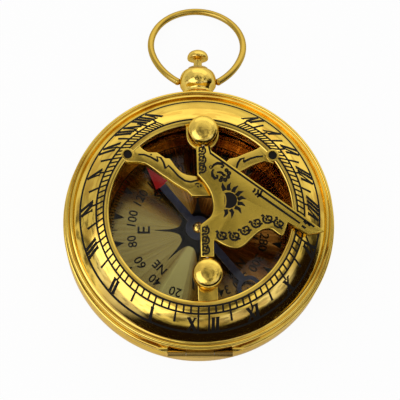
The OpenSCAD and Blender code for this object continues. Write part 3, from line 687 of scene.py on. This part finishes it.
def plate(outline, low, high, edge=0.2, steps=3):
    """A flat plate cut to a closed outline, with its upper and lower edges rounded."""
    mesh = bmesh.new()
    middle = (low + high) / 2
    mesh.faces.new([mesh.verts.new((x, y, middle)) for x, y in outline])
    bmesh.ops.recalc_face_normals(mesh, faces=mesh.faces)
    if mesh.faces[:][0].normal.z < 0:
        bmesh.ops.reverse_faces(mesh, faces=mesh.faces)
    under = bmesh.ops.duplicate(mesh, geom=mesh.faces[:])["geom"]
    under = [g for g in under if isinstance(g, bmesh.types.BMFace)]
    bmesh.ops.reverse_faces(mesh, faces=under)
    top = [f for f in mesh.faces if f not in under]
    rise = (high - low) / 2 - edge
    for face, up_or_down in ((top[0], 1), (under[0], -1)):
        walls = bmesh.ops.extrude_face_region(mesh, geom=[face])["geom"]
        face = next(g for g in walls if isinstance(g, bmesh.types.BMFace))
        bmesh.ops.translate(mesh, vec=(0, 0, rise * up_or_down), verts=face.verts)
        angles = [math.pi / 2 * i / steps for i in range(steps + 1)]
        for a, b in zip(angles, angles[1:]):
            bmesh.ops.inset_region(mesh, faces=[face], thickness=edge * (math.cos(a) - math.cos(b)),
                                   depth=edge * (math.sin(b) - math.sin(a)), use_even_offset=True)
    bmesh.ops.remove_doubles(mesh, verts=mesh.verts, dist=0.001)
    bmesh.ops.recalc_face_normals(mesh, faces=mesh.faces)
    return mesh


def thinned(points, gap=0.32):
    """Leaves out points that lie almost on the one before."""
    kept = [points[0]]
    for point in points[1:]:
        if math.dist(point, kept[-1]) > gap:
            kept.append(point)
    return kept[:-1] if math.dist(kept[0], kept[-1]) < gap else kept


left_arm = ([(-16.4, 11.15), (-13.6, 11.1)]
            + curve((-12, 10.75), (-10.4, 9.9), (-9.4, 8.9), (-8.1, 8))
            + curve((-7.2, 7.4), (-5.4, 6), (-3.6, 5), (-2.6, 4.45)) + [(-1.85, 3.45)])
left_back = (curve((0.95, 7.9), (-1.2, 8), (-3.4, 8), (-4.5, 9.2)) + [(-5, 9.7)]
             + curve((-5.5, 10.3), (-6, 11.1), (-6.3, 11.6), (-6.7, 12))
             + [(-7.6, 12), (-9.4, 13.35), (-10.9, 13.35)]
             + curve((-11.4, 13.4), (-12.4, 13.9), (-12.9, 14.3), (-13.2, 14.9)) + [(-14.8, 14.35)])
right_front = ([(3.75, 3.45), (4.1, 4.4)] + curve((4.6, 5.4), (5.6, 6.8), (7.4, 8.3), (8.7, 9.05))
               + curve((9.4, 9.4), (10.4, 10), (12, 10.8), (13.2, 11.2))
               + curve((14, 11.45), (15, 11.4), (16, 10.75), (16.4, 10.85)))
right_back = ([(14.8, 14.35)] + curve((13.2, 14.9), (12.4, 14.1), (11.2, 13.8), (9.8, 13.2))
              + [(7.9, 12.35), (6.3, 12)] + curve((5, 10.6), (4.4, 9.8), (3.6, 8.8), (2.4, 8)))


def bridge():
    outline = thinned(left_arm + right_front + right_back + left_back)
    return cut_all(plate(outline, bridge_low, bridge_z + bridge_rise), boss_drills())


def tongue(post, direction, width, reach):
    """A tongue from the ring to a knob, with a round end under the knob."""
    side = width / 2
    outline = arc((0, 0), side, 180, 360, 20) + [(side, reach), (-side, reach)]
    turn = dial_turn + (0 if direction > 0 else math.pi)
    mesh = plate(outline, bridge_low, bridge_z - 0.01)
    place = Matrix.Translation((post.x, post.y, 0)) @ Matrix.Rotation(turn, 4, "Z")
    bmesh.ops.transform(mesh, verts=mesh.verts, matrix=place)
    return mesh


def boss(x, y):
    """The raised collar round each hole at the end of the bridge."""
    foot_z = 17.2
    mesh = spun([(boss_hole_r, foot_z), (1.43, foot_z), (1.43, crest_z - 0.1)]
                + arc((1.33, crest_z - 0.07), 0.1, 0, 90, 3)
                + [(1.0, crest_z + 0.03), (boss_hole_r, crest_z - 0.02)], 40)
    bmesh.ops.translate(mesh, vec=(x, y, 0), verts=mesh.verts)
    return mesh


hour_ring_piece = piece("hour_ring", hour_ring(), "lid", "brass", brass, "hour_ring_lid")
hour_ring_piece.data.materials.append(dark_brass)
# Faces of the two hollows beside the hinge take the dark brass as painted shade.
for face in hour_ring_piece.data.polygons:
    middle = face.center / MM
    near = any(math.dist(middle.xy, pocket) < pocket_r + 0.01 for pocket in pockets)
    if near and middle.z < pocket_top + 0.01:
        face.material_index = 1
bridge_brass = material("bridge_brass", (0.78, 0.54, 0.09), 0.17, dark=(0.56, 0.34, 0.05), grain=0.1)
bridge_piece = piece("bridge", bridge(), "lid", "brass", bridge_brass)
piece("upper_tongue", tongue(posts[0], 1, 7.2, 3), "lid", "brass", bridge_brass)
piece("lower_tongue", tongue(posts[1], -1, 4.3, 6), "lid", "brass", bridge_brass)
piece("bosses", together(*(boss(x, y) for x, y in bosses)), "lid", "brass", bridge_brass)

# Engraving on the hour ring
# Cut lines filled with black wax: three circles, ten-minute cells, half-hour ticks and the
# numerals, whose heads point inwards. The hour lines fan out from two points by the upper knob,
# and hour_shift turns each one further round the ring by some degrees.
wax = material("black_wax", (0.01, 0.008, 0.006), 0.5, metal=False)
fillings = [rod(boss_hole_r - 0.01, (x, y, 17.6), (x, y, crest_z - 0.3)) for x, y in bosses]
piece("boss_holes", together(*fillings), "lid", "brass", wax)
first_hour = 1.9
per_hour = 12.9
last_hour = 8
fan_from = {side: on_dial @ Vector((-side * 1.15, post_v, 0)) for side in (1, -1)}
hour_shift = {1: (0, -1.3, 0.3, 1.4, 1.4, 1.4, 1.5, 1.8, 3),
              -1: (0, -2.4, -1.4, 0.2, 0.3, 0.3, 0.2, 0.6, 3.4)}
track_in_r = 20.95
hour_line_r = 23.6
tick_r = 24.6
scale_lean = 0.65
engraved = 0.4


def on_ring(side, hours, radius, shift=0.0):
    """Where the line of an hour after noon (side 1) or before it (side -1) meets a radius, and
    from there a shift along the ring."""
    start = fan_from[side].to_2d()
    a = math.radians(first_hour * min(hours, 1) + per_hour * hours)
    way = Vector((-side * math.sin(a), -math.cos(a)))
    inner = start.dot(way)
    found = start + way * (math.sqrt(inner ** 2 - start.length_squared + radius ** 2) - inner)
    step = min(int(hours), last_hour - 1)
    before, after = hour_shift[side][step:step + 2]
    turn = shift / radius - side * math.radians(before + (after - before) * (hours - step))
    return Vector((found.x * math.cos(turn) - found.y * math.sin(turn),
                   found.x * math.sin(turn) + found.y * math.cos(turn)))


def on_scale(side, hours, radius):
    """The same for the cells and ticks, which lean less than the numerals."""
    outer = on_ring(side, hours, tick_r).normalized()
    inner = on_ring(side, hours, radius).normalized()
    return outer.lerp(inner, scale_lean).normalized() * radius


def surface(*objects):
    """The surface of some pieces, for rays to find, in millimetres."""
    mesh = bmesh.new()
    for one in objects:
        mesh.from_mesh(one.data)
    bmesh.ops.scale(mesh, vec=(1 / MM,) * 3, verts=mesh.verts)
    found = BVHTree.FromBMesh(mesh)
    mesh.free()
    return found


def lay_on(mesh, ground, rise=0.03):
    """Lays a flat drawing on the surface under it, in steps short enough to follow the curve."""
    longest = 0.35
    bmesh.ops.remove_doubles(mesh, verts=mesh.verts, dist=0.0005)
    for _ in range(3):
        too_long = [edge for edge in mesh.edges if edge.calc_length() > longest]
        if too_long:
            bmesh.ops.subdivide_edges(mesh, edges=too_long, cuts=1, use_grid_fill=True)
    bmesh.ops.recalc_face_normals(mesh, faces=mesh.faces)
    bmesh.ops.reverse_faces(mesh, faces=[f for f in mesh.faces if f.normal.z < 0])
    missed = []
    for vert in mesh.verts:
        hit = ground.ray_cast(Vector((vert.co.x, vert.co.y, 40)), Vector((0, 0, -1)))
        if hit[0] and hit[0].z > cove_z:
            vert.co = hit[0] + Vector((0, 0, rise))
        else:
            missed.append(vert)
    bmesh.ops.delete(mesh, geom=missed, context="VERTS")
    return mesh


def hour_letters(mesh, words, side, hours, centre=0.0):
    """One numeral in cut capitals, sheared along its hour's line, read from outside the ring."""
    foot_r, head_r = 25.75, 23.35
    letter_w = {"I": 0.92, "V": 1.7, "X": 1.9}
    start = centre - sum(letter_w[letter] for letter in words) / 2

    def spot(x, y):
        return on_ring(side, hours, foot_r + (head_r - foot_r) * y, x)

    def stroke(x_head, x_foot, width):
        bar(mesh, spot(x_head, 1), spot(x_foot, 0), width, segments=5)

    def serif(x, y, half):
        bar(mesh, spot(x - half, y), spot(x + half, y), 0.28)

    lean_over = (spot(0, 1) - spot(0, 0)).normalized().dot(-spot(0, 0.5).normalized())
    bold = 0.68 * (0.45 + 0.55 * lean_over)
    thin = 0.4 * (0.55 + 0.45 * lean_over)

    for letter in words:
        mid = start + letter_w[letter] / 2
        lean = letter_w[letter] * 0.36
        if letter == "I":
            stroke(mid, mid, bold)
            serif(mid, 0.03, 0.4)
            serif(mid, 0.97, 0.4)
        else:
            foot = 0 if letter == "V" else lean
            stroke(mid - lean, mid + foot, bold)
            stroke(mid + lean, mid - foot, thin)
            for x in (-lean, lean):
                serif(mid + x, 0.97, 0.36)
                if letter == "X":
                    serif(mid + x, 0.03, 0.36)
        start += letter_w[letter]


def ring_engraving():
    mesh = bmesh.new()
    ring_band(mesh, track_in_r, engraved, segments=240)
    ring_band(mesh, band_r, engraved, segments=240)
    ends = [math.degrees(math.atan2(*reversed(on_scale(side, last_hour, track_r))))
            for side in (1, -1)]
    ring_band(mesh, track_r, engraved, ends[0], ends[1] + 360, segments=220)
    for side in (1, -1):
        for sixth in range(last_hour * 6 + 1):
            hours = sixth / 6
            bar(mesh, on_scale(side, hours, track_in_r), on_scale(side, hours, track_r),
                0.42 - 0.014 * hours, segments=5)
        bar(mesh, on_ring(side, 0, track_r), on_ring(side, 0, band_r), engraved, segments=8)
        for half in range(last_hour):
            hours = half + 0.5
            bar(mesh, on_scale(side, hours, track_r), on_scale(side, hours, tick_r), engraved, 0.5,
                segments=6)
        for hours in range(1, last_hour + 1):
            bar(mesh, on_scale(side, hours, track_r), on_ring(side, hours, hour_line_r), engraved,
                segments=3)
    afternoon = ["I", "II", "III", "IV", "V", "VI", "VII", "VIII"]
    morning = ["XI", "X", "IX", "VIII", "VII", "VI", "V", "IV"]
    for hours, words in enumerate(afternoon, 1):
        hour_letters(mesh, words, 1, hours)
    for hours, words in enumerate(morning, 1):
        hour_letters(mesh, words, -1, hours)
    hour_letters(mesh, "X", 1, 0, -1.35)
    hour_letters(mesh, "II", -1, 0, 1.35)
    return lay_on(mesh, surface(hour_ring_piece))


piece("ring_engraving", ring_engraving(), "lid", "brass", wax)


def bridge_engraving():
    """A barbed stem along each arm, three small marks by the middle and a dot."""
    mesh = bmesh.new()
    ribbon(mesh, [(-13.5, 12.8), (-12.2, 12.75), (-10.8, 12.2), (-9.15, 11.25)], [0.4, 0.42, 0.42, 0.5])
    ribbon(mesh, [(-9.2, 11.2), (-9.45, 12.3), (-8.6, 12.05), (-8, 11), (-7.6, 9.6)],
           [0.3, 0.4, 0.42, 0.42, 0.5])
    ribbon(mesh, [(-7.6, 9.6), (-6.95, 10.3), (-6.05, 9.4), (-4.8, 7.9), (-3.35, 6.85), (-2.1, 6.6),
                  (-1, 6.9), (-0.4, 7.05)], [0.3, 0.42, 0.42, 0.45, 0.46, 0.45, 0.42, 0.4])
    for mark in (((-1.2, 6.05), (-0.8, 6.3), (-0.3, 6.2)), ((-0.7, 5.7), (-0.4, 5.4)),
                 ((0, 6.0), (0.15, 5.5)), ((-10.74, 12.95), (-10.7, 12.6))):
        ribbon(mesh, mark, 0.34)
    ribbon(mesh, [(13.7, 12.55), (12.35, 12.45), (10.9, 12), (9.4, 11.2)], [0.4, 0.44, 0.46, 0.55])
    ribbon(mesh, [(9.4, 11.2), (9.55, 12.15), (8.7, 11.8), (8.15, 10.9), (7.9, 9.8)],
           [0.34, 0.46, 0.5, 0.5, 0.44])
    ribbon(mesh, [(15.6, 11.4), (16.5, 11.4)], 0.45)
    return lay_on(mesh, surface(bridge_piece, hour_ring_piece))


piece("bridge_engraving", bridge_engraving(), "lid", "brass", wax)

# Knobs
# Two turned knobs of slightly scratched brass stand on the tongues, held by nuts below. The
# gnomon's pins turn in them.
knob_brass = material("knob_brass", (0.88, 0.61, 0.11), 0.15, dark=(0.66, 0.38, 0.05), grain=0.3)
gnomon_z = 20.2


def knob(post):
    knob_r = 3.3
    foot_r = knob_r * 0.82
    neck_r = knob_r * 0.72
    shank_r, shank_z = 1, bridge_low - 1.15
    head_low, head_top = bridge_z + 0.95, gnomon_z + 2.4
    profile = ([(0, shank_z), (shank_r, shank_z), (shank_r, bridge_z), (foot_r, bridge_z)]
               + arc((foot_r - 0.1, bridge_z + 0.25), 0.1, 0, 90, 3)
               + [(neck_r, bridge_z + 0.55), (neck_r, head_low - 0.1)]
               + curve((neck_r, head_low - 0.05), (knob_r - 0.3, head_low), (knob_r, head_low + 0.2),
                       (knob_r, head_low + 0.9), 8)
               + curve((knob_r, gnomon_z + 0.6), (knob_r, gnomon_z + 1.7), (knob_r * 0.72, head_top),
                       (0, head_top), 18)[1:])
    mesh = spun(profile, 72)
    bmesh.ops.translate(mesh, vec=(post.x, post.y, 0), verts=mesh.verts)
    return mesh


piece("upper_knob_turned", knob(posts[0]), "lid", "brass", knob_brass, "upper_knob")
piece("lower_knob_turned", knob(posts[1]), "lid", "brass", knob_brass, "lower_knob")
aged = material("aged_brass", (0.6, 0.42, 0.12), 0.3, grain=0.1)
dress(aged, "knob_nuts")

# Gnomon
# A flat plate of satin brass that folds on two pins, sawn to its shape, with a half sun cut
# through it. Its engraving is filled with black wax.
gnomon_t = 1.4
arm_v = 12.4
latitude = math.radians(51.9)
shadow_top = Vector((1.75, 11.2))
point = Vector((25.2, shadow_top.y - (25.2 - shadow_top.x) / math.tan(latitude)))
sun_r = 1.85
sun_middle = (5, 0)
sun_flat = 4.05
half_sun_outline = thinned([(sun_flat, -1.59)] + arc(sun_middle, sun_r, -120, 120, 24)
                           + [(sun_flat, 1.59)])
gnomon_brass = material("gnomon_brass", (0.76, 0.53, 0.08), 0.2, dark=(0.36, 0.23, 0.03), grain=0.1,
                        patch=0.8)


def gnomon():
    outline = thinned(
        [(-1.65, arm_v), (-1.6, 6.3)]
        + curve((-1.5, 5.9), (-0.4, 4.6), (1, 2.9), (1.4, 0.9))
        + curve((1.5, 0.2), (1.75, -1), (1.7, -2.6), (0.85, -3.65))
        + [(-1.1, -5.15), (-1.35, -5.5), (-1.4, -arm_v), (1.5, -arm_v), (1.55, -8.85), (1.95, -8.85)]
        + curve((2.2, -8.95), (3.6, -10), (6, -11.3), (7.6, -10.2))
        + curve((8.3, -9.7), (10.2, -7.9), (12, -5.6), (14.2, -6.75))
        + [(15.5, -7.9)] + arc((15.95, -7.5), 0.6, 221, 335, 4)
        + [(17.5, -5.15), (21.75, point.y - 0.75), (point.x - 1.6, point.y - 0.45), tuple(point),
           tuple(shadow_top), (1.35, arm_v)])
    mesh = plate(outline, gnomon_z - gnomon_t / 2, gnomon_z + gnomon_t / 2, 0.26)
    mesh = cut(mesh, plate(half_sun_outline, gnomon_z - 2, gnomon_z + 2, 0.02, 1))
    bmesh.ops.transform(mesh, matrix=on_dial, verts=mesh.verts)
    return mesh


gnomon_piece = piece("gnomon_sawn", gnomon(), "gnomon", "aged_brass", gnomon_brass, "gnomon_plate")
dress(steel, "gnomon_pins")


def scroll(mesh, centre, turn, size):
    """One motif of the scroll border."""
    strokes = (([(-1.1, 0.75), (-0.8, 1.0), (-0.6, 0.7), (-0.85, 0.3), (-0.8, -0.2), (-0.45, -0.6),
                 (0.2, -0.7), (0.8, -0.45), (1.1, -0.55)], 0.432),
               ([(0.0, 0.3), (0.3, 0.7), (0.8, 0.5), (0.85, 0.05), (0.55, -0.25), (0.2, -0.2),
                 (0.3, 0.1)], 0.408),
               ([(-0.45, 0.35), (-0.15, 0.1), (-0.3, -0.25)], 0.432),
               ([(0.1, 0.85), (-0.2, 0.6)], 0.36))
    spin = Matrix.Rotation(math.radians(turn), 2)
    for points, width in strokes:
        ribbon(mesh, [Vector(centre) + spin @ Vector(p) * size for p in points], width * size)


def gnomon_engraving():
    """The line along the slope, the feathered stem, the sun's rays, a leaf flourish with its
    buds, and the scroll border."""
    mesh = bmesh.new()
    slope = (point - shadow_top).normalized()
    beside = shadow_top + Vector((slope.y, -slope.x)) * 0.62
    ribbon(mesh, [(1.15, 12.25), beside + slope * 0.1, beside + slope * 15, beside + slope * 27.6], 0.46)
    ribbon(mesh, [(11.3, 1.3), (20.05, -5.45)], [0.55, 0.42])
    for feather in (((10.15, 1.75), (10.6, 1.95), (10.75, 2.55)),
                    ((10.6, 1.1), (11.25, 1.35), (11.5, 2.3)),
                    ((11.1, 0.6), (11.75, 0.95), (12.2, 1.95)), ((20.9, -4.9), (21.4, -5.7)),
                    ((21.6, -5.3), (22.2, -6.1)), ((20.4, -6.0), (21.2, -6.6))):
        ribbon(mesh, feather, 0.5)
    for ray in (((4.2, 2.2), (3.85, 3.05), (3.79, 3.95)),
                ((5.08, 2.2), (5.05, 3.12), (5.55, 3.96)),
                ((5.94, 1.75), (6.35, 2.63), (7.18, 3.21)),
                ((6.65, 0.95), (7.39, 1.71), (8.29, 1.94)),
                ((6.92, 0.12), (7.82, 0.55), (8.76, 0.15)),
                ((6.83, -0.75), (7.73, -0.79), (8.51, -1.42)),
                ((6.23, -1.55), (7.18, -2.01), (7.55, -3.02)),
                ((5.25, -2.05), (5.72, -2.76), (5.46, -4.04)),
                ((4.28, -2.02), (4.4, -2.91), (3.77, -3.82))):
        ribbon(mesh, ray, [0.95, 0.78, 0.1])
    leaf_widths = [0.34, 0.5, 0.7, 0.7, 0.5, 0.5, 0.4]
    ribbon(mesh, [(1.58, 7.33), (2.05, 7.98), (2.87, 8.38), (3.77, 8.23), (4.2, 7.71), (3.83, 7.38),
                  (3.53, 7.61)], leaf_widths)
    ribbon(mesh, [(1.96, 7.04), (1.63, 6.38), (1.73, 5.54), (2.21, 4.92), (2.72, 5.05), (2.81, 5.48),
                  (2.45, 5.56)], leaf_widths)
    ribbon(mesh, [(2.66, 6.31), (3.34, 6.35), (3.87, 6.06), (4.12, 5.49)], [0.3, 0.6, 0.6, 0.4])
    ring_band(mesh, 0.3, 0.22, centre=(1.4, 7.52), segments=14)
    for x, y, r in ((4.76, 6.75, 0.48), (5.27, 6.07, 0.52), (5.06, 5.24, 0.48), (4.39, 4.58, 0.5),
                    (3.42, 4.53, 0.46), (3.69, 5.1, 0.4), (4.3, 5.6, 0.3)):
        ring_band(mesh, r * 0.55, r * 0.9, centre=(x, y), segments=14)
    for place, turn in (((3.18, -7.9), 0), ((5.9, -8.1), 4), ((8.3, -6.87), 36), ((10.68, -5.35), 28),
                        ((13.12, -4.49), 4), ((15.4, -5.46), -30)):
        scroll(mesh, place, turn, 1.12)
    for place in ((-0.15, -6.6), (-0.18, -8.75), (-0.2, -10.9),
                  (-0.3, 11.3), (-0.3, 9.2), (-0.35, 7.15)):
        scroll(mesh, place, 100, 0.95)
    return mesh


def on_plate(mesh):
    """Lays a flat drawing just above the gnomon's upper face."""
    wax_rise = 0.012
    bmesh.ops.transform(mesh, matrix=on_dial, verts=mesh.verts)
    return lay_flat(mesh, gnomon_z + gnomon_t / 2 + wax_rise)


piece("gnomon_engraving", on_plate(gnomon_engraving()), "gnomon", "aged_brass", wax)
sun_rim = bmesh.new()
ring_band(sun_rim, sun_r + 0.1, 0.3, -122, 122, centre=sun_middle)
ribbon(sun_rim, [(sun_flat - 0.1, 1.75), (sun_flat + 0.22, 0.9), (sun_flat + 0.32, 0),
                 (sun_flat + 0.22, -0.9), (sun_flat - 0.1, -1.75)], 0.26)
piece("sun_rim", on_plate(sun_rim), "gnomon", "aged_brass", brass)
half_sun = plate(half_sun_outline, gnomon_z - 0.5, gnomon_z + gnomon_t / 2 - 0.02, 0.02, 1)
bmesh.ops.transform(half_sun, matrix=on_dial, verts=half_sun.verts)
piece("half_sun_wax", half_sun, "gnomon", "aged_brass", wax)
# The plate's steep side walls are dark brown as painted shade.
side_wall_painted_shade = material("gnomon_side_painted_shade", (0.16, 0.1, 0.02), 0.4, grain=0.1)
gnomon_piece.data.materials.append(side_wall_painted_shade)
for face in gnomon_piece.data.polygons:
    face.material_index = int(abs(face.normal.z) < 0.2)

# Pendant and button
# The crown is turned in one piece: a collar on the case, a ball with two seats for the bail and
# a bore for the button. A bush closes the chamber of its return spring, and the stem ends in a
# groove for the steel catch.
ball_y = 33.9


def along_y(mesh):
    """Lays a lathe shape along the pendant's axis."""
    place = Matrix.Translation((0, 0, crown_z)) @ Matrix.Rotation(-math.pi / 2, 4, "X")
    bmesh.ops.transform(mesh, verts=mesh.verts, matrix=place)
    return mesh


def crown():
    """The collar, a barrel-shaped ball with a flat end, its bore and the seats for the bail."""
    mesh = along_y(spun([(1.05, 27.3), (2.3, 27.3), (2.3, 29.2), (3.3, 29.2), (3.3, 30.3), (3.1, 30.6),
                         (3.1, 30.75), (3.35, 30.95)]
                        + curve((3.35, 31.2), (3.2, 31.4), (3.45, 31.7), (3.85, 32.3), 6)
                        + curve((4.05, 32.6), (4.3, 33.3), (4.3, 34.3), (3.95, 35.2), 12)
                        + curve((3.85, 35.45), (3.55, 36.1), (3.1, 36.45), (2.5, 36.5), 8)
                        + [(2.1, 36.5), (1.95, 36.4), (1.85, 36.15), (1.85, 29.5), (1.05, 29.5)], 96))
    cutters = [rod(case_r, (0, 0, -20), (0, 0, 40), 240)]
    for side in (-1, 1):
        cutters += [rod(0.65, (side * 2.4, ball_y, crown_z), (side * 6, ball_y, crown_z), 32),
                    rod(0.96, (side * 3.78, ball_y, crown_z), (side * 6, ball_y, crown_z), 32)]
    return cut_all(mesh, cutters)


def button():
    """The stem with the catch's groove and a mushroom head, hollow underneath."""
    mesh = spun([(0, 25.3), (0.9, 25.3), (0.9, 25.65), (0.6, 25.65), (0.6, 26.35), (1, 26.35),
                 (1, 35.65), (1.7, 35.65), (1.7, 36.15), (1, 36.15), (0.95, 38.6)]
                + curve((1.0, 38.95), (1.3, 39.35), (1.8, 39.3), (2.15, 39.3), 8)
                + curve((2.35, 39.4), (2.5, 39.7), (2.4, 40.3), (2.0, 40.8), 8)
                + curve((1.85, 40.95), (1.3, 41.4), (0.7, 41.5), (0, 41.5), 10), 72)
    return along_y(mesh)


crown_brass = material("crown_brass", (0.9, 0.64, 0.13), 0.08, dark=(0.4, 0.2, 0.03), grain=0.03,
                       patch=0.5)
piece("crown_turned", crown(), "case", "brass", crown_brass, "pendant")
piece("button_turned", button(), "button", "brass", crown_brass, "push_button")
dress(aged, "stem_bush")
coil = bmesh.new()
coil.from_mesh(nodes["button_spring"].data)
bmesh.ops.scale(coil, vec=(1 / MM,) * 3, verts=coil.verts)
bmesh.ops.remove_doubles(coil, verts=coil.verts, dist=0.001)
coil_piece = piece("return_spring", coil, None, "steel", steel, "button_spring")
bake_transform(coil_piece)

# Bail
# A bow of drawn brass wire, duller than the case. Its two ends are sprung into the ball's holes
# and turn in them.
bail_brass = material("bail_brass", (0.56, 0.37, 0.06), 0.2, dark=(0.3, 0.17, 0.02), grain=0.08,
                      patch=0.7)
dress(bail_brass, "bail")
